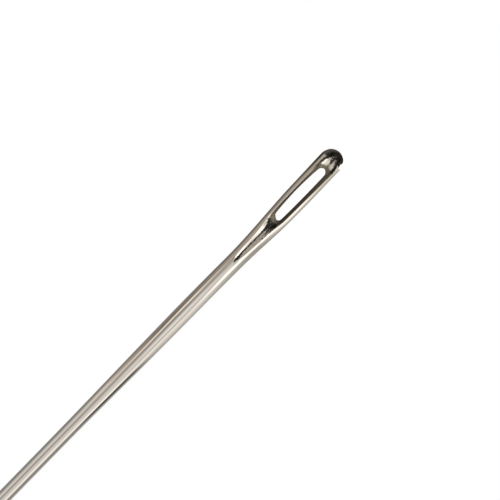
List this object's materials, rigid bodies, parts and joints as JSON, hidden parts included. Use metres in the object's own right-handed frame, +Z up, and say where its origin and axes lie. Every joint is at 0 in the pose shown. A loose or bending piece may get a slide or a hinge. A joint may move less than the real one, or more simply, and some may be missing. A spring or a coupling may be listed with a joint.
{
  "type": "long needle",
  "caption": "Long nickel-plated hand needle with a round shank, a ground point and a broad flattened head holding a long bowed eye with thread gutters.",
  "frame": {"origin": "under the middle of the needle's length, on the surface it lies on", "axes": "+X along the needle towards the crown above the eye, +Z up from the surface it lies on. The needle rests on its shank and one edge of its broad head, rolled 20.1 degrees about X from lying with the head's faces level, so the eye's axis leans 20.1 degrees towards -Y."},
  "size_m": [0.127, 0.0031, 0.0018],
  "materials": {
    "nickel": "polished nickel plate over drawn steel"
  },
  "bodies": {
    "root": {"needle": "nickel"}
  },
  "joints": []
}
